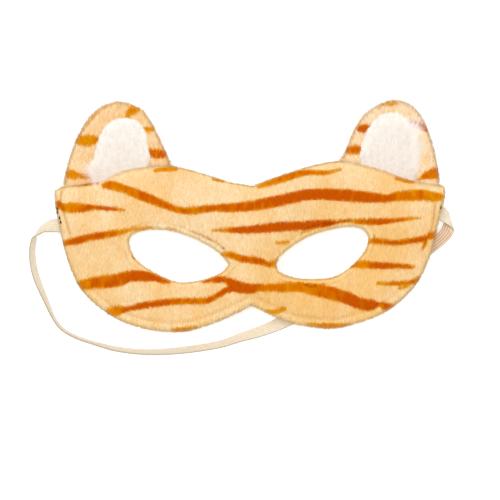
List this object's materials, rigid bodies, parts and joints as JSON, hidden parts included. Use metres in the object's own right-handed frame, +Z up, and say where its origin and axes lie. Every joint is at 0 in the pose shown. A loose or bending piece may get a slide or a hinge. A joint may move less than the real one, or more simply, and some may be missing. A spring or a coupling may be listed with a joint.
{
  "type": "plush tiger half mask",
  "caption": "Child's plush half mask printed with tiger stripes, with eye holes, rounded ears filled with white fur and a flat elastic band, lying face up.",
  "frame": {"origin": "centre of the mask and its ears in plan, on the surface that the mask lies on", "axes": "+X along the mask's width, to the right as it is looked at; +Y towards the ears; +Z up, out of the face"},
  "size_m": [0.2088, 0.1247, 0.021],
  "materials": {
    "plush": "short-pile plush, cream-orange printed with brown tiger stripes",
    "fur": "long-pile fur, off white",
    "elastic": "flat woven elastic ribbed along its length, skin tone"
  },
  "bodies": {
    "root": {"mask_face": "plush", "ear_left": "plush", "ear_right": "plush", "ear_fur_left": "fur", "ear_fur_right": "fur", "elastic_band": "elastic"}
  },
  "joints": []
}
